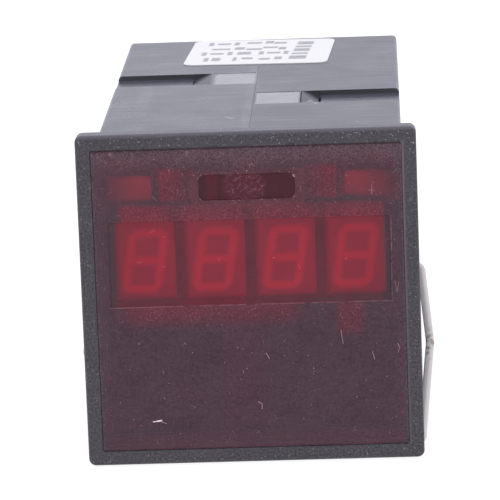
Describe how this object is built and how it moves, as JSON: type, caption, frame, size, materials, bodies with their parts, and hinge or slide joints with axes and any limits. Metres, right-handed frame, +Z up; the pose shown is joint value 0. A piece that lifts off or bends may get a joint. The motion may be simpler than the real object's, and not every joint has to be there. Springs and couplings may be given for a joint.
{
  "type": "electronic counter",
  "caption": "Square panel-mounted electronic counter with a frosted red window over LED digits and lamps, rear screw terminals and a swinging wire bail that clamps it in its cut-out.",
  "frame": {"origin": "centre of the front frame's rear face, in the plane of the panel's front surface", "axes": "+X to the right seen from the front, +Y from the front to the rear terminals, +Z up"},
  "size_m": [0.051, 0.098, 0.048],
  "materials": {
    "case_plastic": "fine grained dark grey moulding",
    "red_acrylic": "frosted red acrylic, dusty and scratched",
    "black_plastic": "black moulding",
    "red_resin": "red cast resin",
    "red_segment": "red diffusing resin, unlit",
    "circuit_board": "green solder mask on glass fibre",
    "plated_steel": "zinc plated",
    "white_plastic": "white moulding",
    "blue_plastic": "blue relay case",
    "core_steel": "varnished laminations",
    "winding_tape": "yellow tape over copper",
    "can_sleeve": "dark sleeve",
    "contact_brass": "plain brass",
    "spring_wire": "drawn nickel plated spring wire",
    "label_paper": "white sticker with plain grey print"
  },
  "bodies": {
    "counter": {"front_frame": "case_plastic", "front_window": "red_acrylic", "display_mask": "black_plastic", "digit_1": "red_resin", "digit_2": "red_resin", "digit_3": "red_resin", "digit_4": "red_resin", "digit_1_segments": "red_segment", "digit_2_segments": "red_segment", "digit_3_segments": "red_segment", "digit_4_segments": "red_segment", "lamp_left": "red_segment", "lamp_right": "red_segment", "display_board": "circuit_board", "logic_board": "circuit_board", "power_board": "circuit_board", "terminal_board": "circuit_board", "board_links": "black_plastic", "microcontroller": "black_plastic", "crystal": "plated_steel", "input_couplers": "white_plastic", "output_relay": "blue_plastic", "transformer_core": "core_steel", "transformer_winding": "winding_tape", "smoothing_capacitors": "can_sleeve", "voltage_regulator": "black_plastic", "left_shell": "case_plastic", "right_shell": "case_plastic", "terminal_block": "black_plastic", "terminal_contacts": "contact_brass", "clamp_plates": "plated_steel", "terminal_screws": "plated_steel", "top_label": "label_paper"},
    "bail": {"clamping_bail": "spring_wire"}
  },
  "joints": [
    {"name": "bail_swing", "type": "hinge", "parent": "counter", "child": "bail", "pos_m": [0, 0.015, 0], "axis": [1, 0, 0], "range_deg": [-4, 60]}
  ]
}
